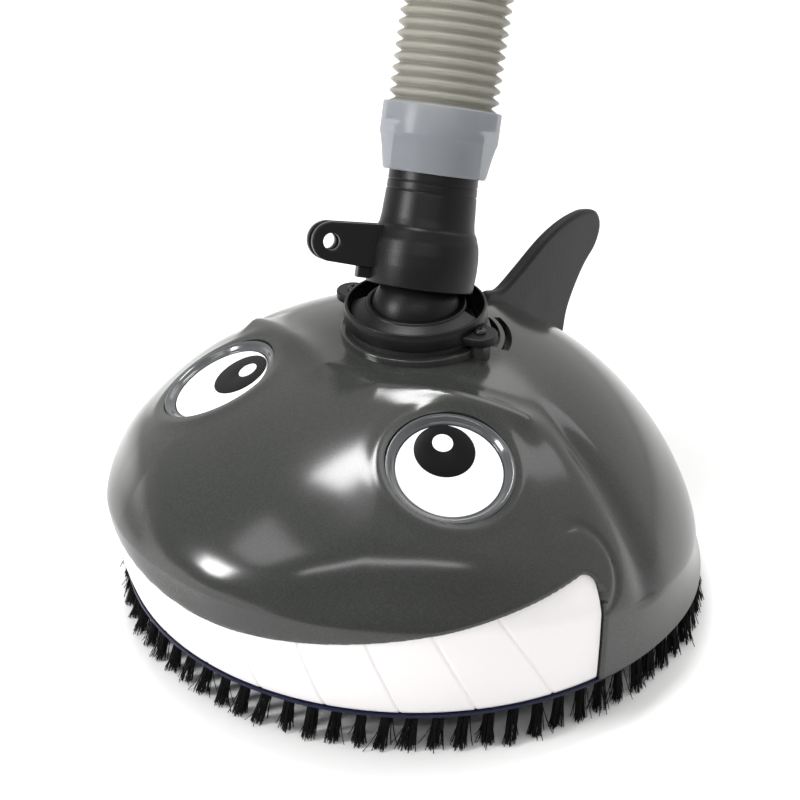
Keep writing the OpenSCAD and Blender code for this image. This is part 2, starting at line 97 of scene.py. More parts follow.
def lightStudio():
    world = bpy.data.worlds.new("studio")
    world.use_nodes = True
    tree = world.node_tree
    back = tree.nodes["Background"]
    back.inputs["Color"].default_value = (*lightSet["skyTint"], 1)
    place = tree.nodes.new("ShaderNodeTexCoord")
    parts = tree.nodes.new("ShaderNodeSeparateXYZ")
    level = tree.nodes.new("ShaderNodeMapRange")
    level.interpolation_type = "SMOOTHSTEP"
    level.inputs["From Min"].default_value = lightSet["skyFrom"]
    level.inputs["From Max"].default_value = lightSet["skyTo"]
    level.inputs["To Min"].default_value = lightSet["skyFront"]
    level.inputs["To Max"].default_value = lightSet["skyBack"]
    tree.links.new(place.outputs["Generated"], parts.inputs["Vector"])
    tree.links.new(parts.outputs["Y"], level.inputs["Value"])
    tree.links.new(level.outputs["Result"], back.inputs["Strength"])
    bpy.context.scene.world = world
    bpy.context.scene.view_settings.view_transform = "Standard"
    for name, (at, target, size, power) in lightSet["boxes"].items():
        softLight(name, at, target, size, power)


def layFloor():
    mesh = bpy.data.meshes.new("floor")
    reach = 6                           # metres each way from the head
    corners = [(-reach, -reach, 0), (reach, -reach, 0), (reach, reach, 0), (-reach, reach, 0)]
    mesh.from_pydata(corners, [], [(0, 1, 2, 3)])
    obj = bpy.data.objects.new("floor", mesh)
    bpy.context.collection.objects.link(obj)
    mat = bpy.data.materials.new("floorWhite")
    mat.use_nodes = True
    shader = mat.node_tree.nodes["Principled BSDF"]
    shader.inputs["Base Color"].default_value = (*lightSet["floor"], 1)
    shader.inputs["Roughness"].default_value = 0.85
    shader.inputs["Specular IOR Level"].default_value = 0.1
    mesh.materials.append(mat)


aimCamera()
lightStudio()
layFloor()
print("camera, lights and floor set")


plasticSet = dict(
    driftScale=14, driftDetail=3,       # slow drift of colour and gloss
    glossy=0.85, dull=1.2,              # roughness runs between these shares of the wanted one
    flakeScale=2600, flakeFrom=0.3,
    grainDetail=2, grainDeep=0.0005,
    seeTint=(0.93, 0.93, 0.92), seeShare=0.45,
)


# moulded plastic: uneven gloss and faint colour drift, with pearl flakes or see-through where asked
def plastic(name, colour, rough=0.35, grainScale=900, wear=0.06, bump=0.02, through=0.0, flakes=0.0,
            shine=0.5):
    p = plasticSet
    mat = bpy.data.materials.new(name)
    mat.use_nodes = True
    tree = mat.node_tree
    shader = tree.nodes["Principled BSDF"]
    place = tree.nodes.new("ShaderNodeTexCoord")
    drift = tree.nodes.new("ShaderNodeTexNoise")
    drift.inputs["Scale"].default_value = p["driftScale"]
    drift.inputs["Detail"].default_value = p["driftDetail"]
    tree.links.new(place.outputs["Object"], drift.inputs["Vector"])
    mix = tree.nodes.new("ShaderNodeMix")
    mix.data_type = "RGBA"
    mix.inputs["A"].default_value = (*[c * (1 - wear) for c in colour], 1)
    mix.inputs["B"].default_value = (*[min(1, c * (1 + wear)) for c in colour], 1)
    tree.links.new(drift.outputs["Fac"], mix.inputs["Factor"])
    out = mix.outputs["Result"]
    if flakes:
        cells = tree.nodes.new("ShaderNodeTexVoronoi")
        cells.inputs["Scale"].default_value = p["flakeScale"]
        tree.links.new(place.outputs["Object"], cells.inputs["Vector"])
        pearl = tree.nodes.new("ShaderNodeMix")
        pearl.data_type = "RGBA"
        pearl.blend_type = "ADD"
        level = tree.nodes.new("ShaderNodeMapRange")
        level.inputs["From Min"].default_value = p["flakeFrom"]
        level.inputs["From Max"].default_value = 1.0
        level.inputs["To Max"].default_value = flakes
        tree.links.new(cells.outputs["Color"], level.inputs["Value"])
        tree.links.new(out, pearl.inputs["A"])
        pearl.inputs["B"].default_value = (1, 1, 1, 1)
        tree.links.new(level.outputs["Result"], pearl.inputs["Factor"])
        out = pearl.outputs["Result"]
    tree.links.new(out, shader.inputs["Base Color"])
    gloss = tree.nodes.new("ShaderNodeMapRange")
    gloss.inputs["To Min"].default_value = max(0.02, rough * p["glossy"])
    gloss.inputs["To Max"].default_value = min(1, rough * p["dull"])
    tree.links.new(drift.outputs["Fac"], gloss.inputs["Value"])
    tree.links.new(gloss.outputs["Result"], shader.inputs["Roughness"])
    shader.inputs["Specular IOR Level"].default_value = shine
    if bump:
        fine = tree.nodes.new("ShaderNodeTexNoise")
        fine.inputs["Scale"].default_value = grainScale
        fine.inputs["Detail"].default_value = p["grainDetail"]
        tree.links.new(place.outputs["Object"], fine.inputs["Vector"])
        grain = tree.nodes.new("ShaderNodeBump")
        grain.inputs["Strength"].default_value = bump
        grain.inputs["Distance"].default_value = p["grainDeep"]
        tree.links.new(fine.outputs["Fac"], grain.inputs["Height"])
        tree.links.new(grain.outputs["Normal"], shader.inputs["Normal"])
    if through:
        glow = tree.nodes.new("ShaderNodeBsdfTranslucent")
        glow.inputs["Color"].default_value = (*colour, 1)
        both = tree.nodes.new("ShaderNodeMixShader")
        both.inputs["Fac"].default_value = through
        see = tree.nodes.new("ShaderNodeBsdfTransparent")
        see.inputs["Color"].default_value = (*p["seeTint"], 1)
        last = tree.nodes.new("ShaderNodeMixShader")
        last.inputs["Fac"].default_value = through * p["seeShare"]
        end = tree.nodes["Material Output"]
        tree.links.new(shader.outputs["BSDF"], both.inputs[1])
        tree.links.new(glow.outputs["BSDF"], both.inputs[2])
        tree.links.new(both.outputs["Shader"], last.inputs[1])
        tree.links.new(see.outputs["BSDF"], last.inputs[2])
        tree.links.new(last.outputs["Shader"], end.inputs["Surface"])
    return mat


def metal(name, colour, rough=0.3):
    mat = plastic(name, colour, rough, bump=0.08, grainScale=2500, wear=0.1)
    mat.node_tree.nodes["Principled BSDF"].inputs["Metallic"].default_value = 1.0
    return mat


looks = dict(
    shell=plastic("shellGrey", (0.027, 0.029, 0.027), 0.17, flakes=0.014, bump=0.01, shine=0.45),
    bezel=plastic("bezelGrey", (0.06, 0.064, 0.068), 0.14, flakes=0.015, shine=0.7),
    teeth=plastic("toothWhite", (0.84, 0.82, 0.82), 0.42, wear=0.02),
    eyeWhite=plastic("eyeWhite", (0.9, 0.9, 0.9), 0.3, wear=0.01),
    eyeBlack=plastic("eyeBlack", (0.003, 0.003, 0.003), 0.2, shine=0.12),
    eyeGap=plastic("eyeGap", (0.012, 0.014, 0.03), 0.4),
    black=plastic("satinBlack", (0.005, 0.005, 0.0052), 0.36, bump=0.12, grainScale=1400, shine=0.22),
    fin=plastic("finBlack", (0.006, 0.006, 0.006), 0.42, bump=0.25, grainScale=1100, shine=0.22),
    mouth=plastic("mouthBlack", (0.01, 0.011, 0.016), 0.4),
    rubber=plastic("sealRubber", (0.01, 0.01, 0.01), 0.6, bump=0.2),
    navy=plastic("ringNavy", (0.006, 0.008, 0.03), 0.4, shine=0.2),
    bristle=plastic("bristleBlack", (0.003, 0.003, 0.0035), 0.45, bump=0, shine=0.12),
    cuff=plastic("cuffClear", (0.50, 0.525, 0.565), 0.3, through=0.6, wear=0.05, bump=0.15, grainScale=260),
    hose=plastic("hoseClear", (0.56, 0.55, 0.50), 0.22, through=0.6, wear=0.06),
    inner=plastic("innerGrey", (0.2, 0.2, 0.21), 0.45, bump=0.1),
    rotor=plastic("rotorOrange", (0.65, 0.2, 0.02), 0.4),
    gear=plastic("gearAcetal", (0.75, 0.74, 0.7), 0.4),
    foam=plastic("floatFoam", (0.68, 0.67, 0.6), 0.8, bump=0.8, grainScale=700),
    steel=metal("screwSteel", (0.6, 0.6, 0.61)),
    oxide=plastic("screwOxide", (0.012, 0.012, 0.013), 0.3, shine=0.4),
    shaft=metal("shaftSteel", (0.5, 0.5, 0.52), 0.22),
    brass=metal("bushBrass", (0.7, 0.5, 0.2), 0.35),
)
print("materials made:", len(looks))


# sizes from here on are in millimetres, unless a note says metres
def addMesh(name, verts, faces, look, body="head", sharp=32, place=None):
    mesh = bpy.data.meshes.new(name)
    verts = np.asarray(verts, dtype=float) / 1000
    mesh.from_pydata(verts.tolist(), [], [list(f) for f in faces])
    mesh.validate()
    faceOut(mesh)
    if place is not None:
        mesh.transform(place)
    mesh.materials.append(look)
    finishMesh(mesh, sharp)
    obj = bpy.data.objects.new(name, mesh)
    bpy.context.collection.objects.link(obj)
    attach(obj, body)
    return obj


def faceOut(mesh):
    work = bmesh.new()
    work.from_mesh(mesh)
    bmesh.ops.recalc_face_normals(work, faces=work.faces)
    work.to_mesh(mesh)
    work.free()


def finishMesh(mesh, sharp):
    mesh.shade_smooth()
    if sharp:
        mesh.set_sharp_from_angle(angle=math.radians(sharp))


# points and faces of a closed solid between two sheets of points
def sheetSolid(outer, inner, ringed):
    rows, cols = outer.shape[:2]
    verts = np.concatenate([outer.reshape(-1, 3), inner.reshape(-1, 3)])
    last = cols if ringed else cols - 1
    i, j = np.meshgrid(np.arange(rows - 1), np.arange(last), indexing="ij")
    i, j = i.ravel(), j.ravel()
    k = (j + 1) % cols
    base = rows * cols
    front = np.stack([i * cols + j, i * cols + k, (i + 1) * cols + k, (i + 1) * cols + j], 1)
    back = np.stack([base + i * cols + j, base + (i + 1) * cols + j, base + (i + 1) * cols + k,
                     base + i * cols + k], 1)
    j = np.arange(last)
    k = (j + 1) % cols
    top = np.stack([j, base + j, base + k, k], 1)
    end = (rows - 1) * cols
    low = np.stack([end + j, end + k, base + end + k, base + end + j], 1)
    faces = [front, back, top, low]
    if not ringed:
        i = np.arange(rows - 1)
        left = np.stack([i * cols, (i + 1) * cols, base + (i + 1) * cols, base + i * cols], 1)
        e = cols - 1
        right = np.stack([(i + 1) * cols + e, i * cols + e, base + i * cols + e,
                          base + (i + 1) * cols + e], 1)
        faces += [left, right]
    return verts, np.concatenate(faces).tolist()


# rounds every corner of a closed profile
def softProfile(points, radius=0.6, steps=4):
    out = []
    n = len(points)
    for i in range(n):
        a, b, c = (np.array(points[(i + k) % n], float) for k in (-1, 0, 1))
        before, after = np.linalg.norm(a - b), np.linalg.norm(c - b)
        trim = min(radius, before * 0.45, after * 0.45)     # under half a side, so corners never meet
        p, q = b + (a - b) / before * trim, b + (c - b) / after * trim
        for t in np.linspace(0, 1, steps + 1):
            out.append(tuple((1 - t) ** 2 * p + 2 * t * (1 - t) * b + t * t * q))
    return out


# a closed profile of (radius, height) points turned round the Z axis
def lathe(name, points, look, body, place=None, radius=0.6, segments=160):
    turn = np.linspace(0, 2 * math.pi, segments, endpoint=False)
    line = np.array(softProfile(points, radius))
    verts = np.stack([line[:, None, 0] * np.cos(turn), line[:, None, 0] * np.sin(turn),
                      np.repeat(line[:, 1:2], segments, 1)], 2).reshape(-1, 3)
    n = len(line)
    faces = []
    for i in range(n):
        nxt = (i + 1) % n
        for j in range(segments):
            k = (j + 1) % segments
            faces.append((i * segments + j, nxt * segments + j, nxt * segments + k, i * segments + k))
    return addMesh(name, verts, faces, look, body, 40, place)


# a closed profile turned part of the way round the Z axis, in degrees from +X
def partLathe(name, points, start, end, look, body, steps=120):
    line = np.array(softProfile(points))
    turn = np.radians(np.linspace(start, end, steps))
    n = len(line)
    verts = np.stack([line[:, None, 0] * np.cos(turn), line[:, None, 0] * np.sin(turn),
                      np.repeat(line[:, 1:2], steps, 1)], 2).reshape(-1, 3)
    faces = [(i * steps + j, (i + 1) % n * steps + j, (i + 1) % n * steps + j + 1, i * steps + j + 1)
             for i in range(n) for j in range(steps - 1)]
    faces += [tuple(i * steps for i in range(n)), tuple(i * steps + steps - 1 for i in reversed(range(n)))]
    return addMesh(name, verts, faces, look, body)


# a flat plate with soft edges, from an outline and round holes (x, y, r) in its own plane
def platePiece(name, outline, holes, thick, edge, look, body, place):
    curve = bpy.data.curves.new(name, "CURVE")
    curve.dimensions = "2D"
    curve.fill_mode = "BOTH"
    loops = [outline] + [[(x + r * math.cos(t), y + r * math.sin(t)) for t in
                          np.linspace(0, 2 * math.pi, 48, endpoint=False)] for x, y, r in holes]
    for loop in loops:
        spline = curve.splines.new("POLY")
        spline.points.add(len(loop) - 1)
        for p, (x, y) in zip(spline.points, loop):
            p.co = (x / 1000, y / 1000, 0, 1)
        spline.use_cyclic_u = True
    curve.extrude = (thick / 2 - edge) / 1000
    curve.bevel_depth = edge / 1000
    curve.bevel_resolution = 4
    curve.offset = -edge / 1000
    temp = bpy.data.objects.new(name + "Line", curve)
    bpy.context.collection.objects.link(temp)
    mesh = bpy.data.meshes.new_from_object(temp.evaluated_get(bpy.context.evaluated_depsgraph_get()))
    bpy.data.objects.remove(temp)
    mesh.name = name
    mesh.transform(place)
    mesh.materials.clear()
    mesh.materials.append(look)
    finishMesh(mesh, 40)
    obj = bpy.data.objects.new(name, mesh)
    bpy.context.collection.objects.link(obj)
    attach(obj, body)
    return obj


# a closed Catmull-Rom line through the points
def smoothLoop(points, steps=8):
    pts = [np.array(p, float) for p in points]
    n = len(pts)
    out = []
    for i in range(n):
        a, b, c, d = (pts[(i + k) % n] for k in (-1, 0, 1, 2))
        for t in np.linspace(0, 1, steps, endpoint=False):
            out.append(tuple(0.5 * (2 * b + (c - a) * t + (2 * a - 5 * b + 4 * c - d) * t * t
                                    + (3 * b - a - 3 * c + d) * t ** 3)))
    return out


# cuts the closed cutters out of obj and removes them
def cut(obj, cutters, solver="EXACT"):
    for cutter in cutters:
        mod = obj.modifiers.new("cut", "BOOLEAN")
        mod.operation = "DIFFERENCE"
        mod.solver = solver
        mod.object = cutter
    mesh = bpy.data.meshes.new_from_object(obj.evaluated_get(bpy.context.evaluated_depsgraph_get()))
    obj.modifiers.clear()
    look = obj.data.materials[0]
    obj.data = mesh
    mesh.materials.clear()
    mesh.materials.append(look)
    finishMesh(mesh, 38)
    for cutter in cutters:
        bpy.data.objects.remove(cutter)


# a cutter that cut() removes again
def scratch(name, verts, faces):
    mesh = bpy.data.meshes.new(name)
    mesh.from_pydata((np.asarray(verts, float) / 1000).tolist(), [], [list(f) for f in faces])
    faceOut(mesh)
    obj = bpy.data.objects.new(name, mesh)
    bpy.context.collection.objects.link(obj)
    return obj


def drum(name, r, z0, z1, place=None, segments=128):
    t = np.linspace(0, 2 * math.pi, segments, endpoint=False)
    ring = np.stack([r * np.cos(t), r * np.sin(t)], 1)
    verts = [(x, y, z0) for x, y in ring] + [(x, y, z1) for x, y in ring]
    faces = [tuple(range(segments))[::-1], tuple(range(segments, 2 * segments))]
    faces += [(j, (j + 1) % segments, segments + (j + 1) % segments, segments + j)
              for j in range(segments)]
    obj = scratch(name, verts, faces)
    if place is not None:
        obj.data.transform(place)
    return obj


domeSet = dict(
    rim=135.0, rimZ=18.0, crown=128.3, wall=3.0,
    backIn=3.5,                         # how much the rim draws in at the back
    sideIn=8.5, faceSwell=15.5,         # the widest line: inside the rim, then swelling towards the face
    snout=7.0, snoutWide=36,
    bellyLow=6, bellyRise=46,           # height of that line over the rim, and what the face adds
    sideRound=2.6, topRound=1.4,
    cols=640, quickCols=360,
)
mouthSet = dict(
    half=71.5, lip=55.0,                # half its width in degrees, and its height at the middle
    rise=0.27, middle=8,                # climb per degree past the flat middle
    cornerWide=4, cornerDrop=9,
    roll=2.2, sideRoll=1.2, perDegree=2.3,
    cutLow=12, cutDeep=9,
)


def ease(t):
    u = np.clip(t, 0, 1)
    return u * u * (3 - 2 * u)


def bell(x, width):
    return np.exp(-(x / width) ** 2)


def frontness(a):
    return ((1 + np.cos(np.radians(a))) / 2) ** 1.2


def rimAt(a):
    d = domeSet
    return d["rim"] - d["backIn"] + d["backIn"] * ease((np.cos(np.radians(a)) + 0.7) / 0.55)


def sideAt(a):
    d = domeSet
    return d["rim"] - d["sideIn"] + d["faceSwell"] * frontness(a) + d["snout"] * bell(a, d["snoutWide"])


def bellyAt(a):
    return domeSet["rimZ"] + domeSet["bellyLow"] + domeSet["bellyRise"] * frontness(a)


def skinRadius(a, z):
    d = domeSet
    side, belly = sideAt(a), bellyAt(a)
    up = np.clip((z - belly) / (d["crown"] - belly), 0, 1)
    high = side * (1 - up ** d["topRound"]) ** (1 / d["sideRound"])
    low = side - (side - rimAt(a)) * (np.clip(belly - z, 0, None) / (belly - d["rimZ"])) ** 2
    return np.where(z >= belly, high, low)


def polar(r, a, z):
    t = np.radians(a)
    return np.stack([r * np.sin(t), -r * np.cos(t), z], -1)


# s runs from 0 at the crown over 1 at the widest line to 2 at the rim
def domePoint(a, s):
    d = domeSet
    side, belly = sideAt(a), bellyAt(a)
    up = np.radians(90 * np.minimum(s, 1))
    r1 = side * np.sin(up) ** (2 / d["sideRound"])
    z1 = belly + (d["crown"] - belly) * np.clip(np.cos(up), 0, 1) ** (2 / d["topRound"])
    z2 = belly - (belly - d["rimZ"]) * (s - 1)
    r2 = skinRadius(a, z2)
    return polar(np.where(s <= 1, r1, r2), a, np.where(s <= 1, z1, z2))


def mouthTop(a):
    m = mouthSet
    past = np.clip((np.abs(a) - (m["half"] - m["cornerWide"])) / m["cornerWide"], 0, 1)
    climb = m["rise"] * (np.sqrt(a * a + m["middle"] ** 2) - m["middle"])
    return m["lip"] + climb - m["cornerDrop"] * (1 - np.sqrt(1 - past ** 2))


eyeSet = dict(
    turn=45.0, rho=87.8, z=110.0, tilt=25.4, twist=4.0,
    outer=27.6, white=23.2, pupil=13.0, pupilUp=9.6, glint=4.4, glintUp=13.4,
)


def eyeFrame(side):
    e = eyeSet
    return (Matrix.Rotation(math.radians(side * e["turn"]), 4, "Z")
            @ Matrix.Translation((0, -e["rho"] / 1000, e["z"] / 1000))
            @ Matrix.Rotation(math.radians(side * e["twist"]), 4, "Z")
            @ Matrix.Rotation(math.radians(e["tilt"]), 4, "X"))


reliefSet = dict(
    browIn=(15, -47), browOut=(72, -22), brow=3.4, browWide=8, crest=0.9, crestWide=3.2,
    foldAt=84, foldWide=4, foldDeep=3.0,          # behind each cheek
    ridge=1.5, ridgeWide=9, hollow=0.8, hollowDrop=15,
    ridgeTurn=(0, 10, 19, 27, 37, 50, 62), ridgeHigh=(79, 84, 91, 95, 92.5, 86, 80),
    creaseAt=(69, 70), creaseFar=18, creaseWide=1.6, creaseDeep=0.9,
    eyeSwell=0.5, eyeReach=10,
)


# how far the moulded features stand out of the plain dome
def relief(p, a, s):
    r, m = reliefSet, mouthSet
    side, z = np.abs(a), p[..., 2]
    # brow: a straight ridge over each eye that fades in from its inner end and out at the widest line
    q = np.stack([np.abs(p[..., 0]) - r["browIn"][0], p[..., 1] - r["browIn"][1]], -1)
    way = np.array([r["browOut"][0] - r["browIn"][0], r["browOut"][1] - r["browIn"][1]], float)
    t = np.clip(q @ way / (way @ way), 0, 1)
    off = np.linalg.norm(q - t[..., None] * way, axis=-1)
    high = (0.5 + 0.5 * ease(2 * t)) * ease((1 - s) / 0.2)
    out = high * (r["brow"] * bell(off, r["browWide"]) + r["crest"] * bell(off, r["crestWide"]))
    fold = r["foldDeep"] * bell(side - r["foldAt"], r["foldWide"])
    out -= fold * ease((s - 0.25) / 0.2) * ease((1.15 - s) / 0.3)
    # ridge over the snout and the hollow under it
    line = np.interp(side, r["ridgeTurn"], r["ridgeHigh"])
    out += (r["ridge"] * (0.35 + 0.65 * ease((side - 6) / 20)) * bell(z - line, r["ridgeWide"])
            * ease((66 - side) / 20))
    out -= r["hollow"] * bell(z - line + r["hollowDrop"], r["ridgeWide"]) * ease((62 - side) / 20)
    # shallow crease round the mouth's corner
    corner = np.hypot((side - r["creaseAt"][0]) * 2.4, z - r["creaseAt"][1])
    crease = r["creaseDeep"] * bell(corner - r["creaseFar"], r["creaseWide"])
    out -= crease * ease((side - 62) / 8) * ease((z - 44) / 20)
    # edge of the mouth, rolled in along its top and down its sides
    top = mouthTop(a) - 0.2
    near = np.clip(z - top, 0, m["roll"]) / m["roll"]
    out -= np.where((side < m["half"] + 1) & (z > top - 6),
                    m["roll"] * (1 - np.sqrt(1 - (1 - near) ** 2)), 0)
    edge = np.clip((side - m["half"]) * m["perDegree"], 0, m["sideRoll"]) / m["sideRoll"]
    out -= np.where((z < mouthTop(a)) & (side > m["half"] - 1),
                    1 - np.sqrt(np.clip(1 - (1 - edge) ** 2, 0, 1)), 0)
    # slight swell round each eye opening, turned in at its edge
    for sign in (-1, 1):
        into = np.array(eyeFrame(sign).inverted())
        q = p / 1000 @ into[:3, :3].T + into[:3, 3]
        gap = np.hypot(q[..., 0], q[..., 1]) * 1000 - eyeSet["outer"]
        swell = r["eyeSwell"] * bell(gap - 3, 3.5) - r["eyeSwell"] * bell(gap, 2.2)
        out += np.where((gap < r["eyeReach"]) & (q[..., 2] > -0.02), swell, 0)
    return out


# the outer skin carries the relief, an inset one is plain
def skinPoint(a, s, inset):
    p = domePoint(a, s)
    da, ds = 0.4, 0.008                 # small steps that give the surface's normal
    n = np.cross(domePoint(a + da, s) - domePoint(a - da, s), domePoint(a, s - ds) - domePoint(a, s + ds))
    n /= np.linalg.norm(n, axis=-1, keepdims=True)
    h = relief(p, a, s) if inset == 0 else 0 * a
    return p + n * (h - inset)[..., None]


ventSet = dict(rhos=(36, 41.2), half=1.6, start=107, end=153, low=112, high=140)
seatSet = dict(bore=28, r=33.2, low=118, top=130.6, postAt=34.5, postR=4.5, postHole=1.6, postTop=133.8)


# one curved slot beside the turret
def ventCutter(rho, side):
    v = ventSet
    turn = np.radians(side * np.linspace(v["start"], v["end"], 24))
    walls = [np.array([[(r * math.sin(t), -r * math.cos(t), z) for t in turn] for z in (v["low"], v["high"])])
             for r in (rho + v["half"], rho - v["half"])]
    far, near = [wall[::-1] if side > 0 else wall for wall in walls]
    return scratch("cutVent", *sheetSolid(far, near, False))


def mouthCutter():
    m = mouthSet
    half = np.linspace(-m["half"], m["half"], 181)
    z = m["cutLow"] + (mouthTop(half)[None] - m["cutLow"]) * np.linspace(1, 0, 14)[:, None]
    turns = np.broadcast_to(half, z.shape)
    skin = skinRadius(turns, z)
    return scratch("cutMouth", *sheetSolid(polar(skin + m["cutDeep"], turns, z),
                                           polar(skin - m["cutDeep"], turns, z), False))


def buildShell():
    d, seat = domeSet, seatSet
    low = 1.99                          # just short of the rim
    s = np.concatenate([np.linspace(0.06, 1, 96), np.linspace(1, low, 34)[1:]])
    a = np.linspace(-180, 180, d["cols"], endpoint=False)
    turns, downs = np.meshgrid(a, s)
    outer = skinPoint(turns, downs, 0)
    inner = skinPoint(turns, downs, d["wall"])
    for skin in (outer, inner):
        skin[..., 2] = np.maximum(skin[..., 2], d["rimZ"] + 2 * (low - downs))
    verts, faces = sheetSolid(outer, inner, True)
    shell = addMesh("upperShell", verts, faces, looks["shell"], sharp=38)
    cutters = [drum("cutTurret", seat["bore"], 90, 140)]
    cutters += [drum("cutEye", eyeSet["outer"], -12, 28, eyeFrame(side)) for side in (-1, 1)]
    cutters.append(mouthCutter())
    cutters += [ventCutter(rho, side) for side in (-1, 1) for rho in ventSet["rhos"]]
    cut(shell, cutters, "MANIFOLD")
    lathe("turretBoss", [(seat["bore"], seat["low"]), (seat["r"], seat["low"]), (seat["r"], seat["top"]),
                         (seat["bore"], seat["top"])], looks["shell"], "head", radius=0.9)
    post = [(seat["postHole"], seat["low"]), (seat["postR"], seat["low"]), (seat["postR"], seat["postTop"]),
            (seat["postHole"], seat["postTop"])]
    for side in (-1, 1):
        lathe("earPost", post, looks["shell"], "head",
              Matrix.Translation((side * seat["postAt"] / 1000, 0, 0)), radius=0.4, segments=48)
    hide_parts("upper_shell")


buildShell()
print("shell built")

toothSet = dict(
    grooves=(5.3, 16, 27.5, 39, 51.5), wide=0.42, deep=0.7,       # turn and width in degrees
    slant=1.2, slantFrom=60, slantOver=42,      # true at this height, and spread by the slant this far below
    low=18, inset=2.0, thick=2.4, topGap=0.5, sideGap=0.3, foot=0.8, footHigh=1.6,
    cols=1500, quickCols=500,
)
panelSet = dict(past=3, over=4, outer=4.6, inner=6.6)


def buildTeeth():
    t = toothSet
    half = mouthSet["half"] - t["sideGap"]
    a = np.linspace(-half, half, t["cols"])
    turns, ups = np.meshgrid(a, np.linspace(1, 0, 40))
    top = mouthTop(turns) - t["topGap"]
    z = t["low"] + (top - t["low"]) * ups
    r = skinRadius(turns, z) - t["inset"]
    dent = 0 * turns
    for groove in t["grooves"]:
        for sign in (-1, 1):
            line = sign * groove * (1 + (t["slant"] - 1) * (t["slantFrom"] - z) / t["slantOver"])
            dent = np.maximum(dent, t["deep"] * bell(turns - line, t["wide"] * 0.55))
    edge = np.clip((t["low"] + t["footHigh"] - z) / t["footHigh"], 0, 1)
    dent += t["foot"] * edge ** 2
    verts, faces = sheetSolid(polar(r - dent, turns, z), polar(r - t["thick"], turns, z), False)
    band = addMesh("toothBand", verts, faces, looks["teeth"], sharp=50)
    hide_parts("tooth_band")


def buildMouthPanel():
    half, low = mouthSet["half"], toothSet["low"]
    a = np.linspace(-half - panelSet["past"], half + panelSet["past"], 260)
    turns, ups = np.meshgrid(a, np.linspace(1, 0, 24))
    z = low + (mouthTop(np.clip(turns, -half, half)) + panelSet["over"] - low) * ups
    r = skinRadius(turns, z)
    verts, faces = sheetSolid(polar(r - panelSet["outer"], turns, z), polar(r - panelSet["inner"], turns, z),
                              False)
    panel = addMesh("mouthPanel", verts, faces, looks["mouth"])
    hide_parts("mouth_panel")


buildTeeth()
buildMouthPanel()
print("teeth built")


def buildEyes():
    e = eyeSet
    bezels, whites, pupils, glints = [], [], [], []
    for side, tag in ((-1, "Left"), (1, "Right")):
        m = eyeFrame(side)
        w, o = e["white"], e["outer"]
        bezels.append(lathe("eyeBezel" + tag, [(w, -3.6), (o, -3.6), (o, 0.1), (o - 0.9, 0.8), (o - 2.0, 0.3),
                                               (w + 0.9, -1.2), (w, -1.5)], looks["bezel"], "head", m, 0.5))
        lathe("eyeGap" + tag, [(w - 1.2, -3.6), (w, -3.6), (w, -2.4), (w - 1.2, -2.4)], looks["eyeGap"],
              "head", m, 0.1)
        whites.append(lathe("eyeWhite" + tag, [(0.001, -3.6), (w - 0.55, -3.6), (w - 0.55, -1.75),
                                               (w * 0.6, -1.66), (0.001, -1.6)], looks["eyeWhite"],
                            "head", m, 0.3))
        up = m @ Matrix.Translation((0, e["pupilUp"] / 1000, 0))
        pupils.append(lathe("eyePupil" + tag, [(0.001, -1.8), (e["pupil"], -1.8), (e["pupil"], -1.32),
                                               (0.001, -1.28)], looks["eyeBlack"], "head", up, 0.2))
        up = m @ Matrix.Translation((0, e["glintUp"] / 1000, 0))
        glints.append(lathe("eyeGlint" + tag, [(0.001, -1.4), (e["glint"], -1.4), (e["glint"], -1.02),
                                               (0.001, -1.0)], looks["eyeWhite"], "head", up, 0.15, 64))
    for pieces, node in ((bezels, "eye_bezels"), (whites, "eye_whites"), (pupils, "eye_pupils"),
                         (glints, "eye_glints")):
        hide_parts(node)


buildEyes()
print("eyes built")

finSet = dict(
    thick=7.0, edge=2.6, thin=0.45,     # the tip loses this share of the thickness
    root=(0.095, 0.1), rootFar=0.012, thinOver=0.06,       # this line and the next are in metres
    slice=0.003, slicesY=(0.054, 0.153), slicesZ=(0.062, 0.135),
    line=[(50, 108), (54, 123), (66, 121), (82, 125.5), (102, 132.5), (118, 135.2), (133, 134.8),
          (143, 132.2), (150, 128.5), (153.5, 123), (153.5, 117), (149, 110), (139, 103.5), (130, 94),
          (124.5, 85), (121.5, 73), (115, 62)],
)


def buildFin():
    f = finSet
    place = Matrix(((0, 0, 1, 0), (1, 0, 0, 0), (0, 1, 0, 0), (0, 0, 0, 1)))
    fin = platePiece("dorsalFin", smoothLoop(f["line"]), [], f["thick"], f["edge"], looks["fin"], "head",
                     place)
    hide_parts("dorsal_fin")
    work = bmesh.new()                  # sliced both ways, so that its thickness can change smoothly
    work.from_mesh(fin.data)
    for axis, (first, last) in ((1, f["slicesY"]), (2, f["slicesZ"])):
        for at in np.arange(first, last, f["slice"]):
            normal, point = [0, 0, 0], [0, 0, 0]
            normal[axis], point[axis] = 1, at
            bmesh.ops.bisect_plane(work, geom=work.verts[:] + work.edges[:] + work.faces[:], plane_co=point,
                                   plane_no=normal)
    work.to_mesh(fin.data)
    work.free()
    for v in fin.data.vertices:
        far = math.hypot(v.co.y - f["root"][0], v.co.z - f["root"][1])
        v.co.x *= 1.0 - f["thin"] * min(1, max(0, (far - f["rootFar"]) / f["thinOver"]))
    finishMesh(fin.data, 50)


buildFin()
print("fin built")

turretSet = dict(top=142.0, low=133.8, r=31.8, ear=34.5, earR=7.5, earIn=30.5, earThick=4, earHole=1.7)
screwSet = dict(r=2.6, high=1.8, turn=0.3, slotHalf=0.35, slotLow=0.35, slotLong=0.6)
brimSet = dict(start=200, end=376)      # the part of the collar's ring that has the sloping brim


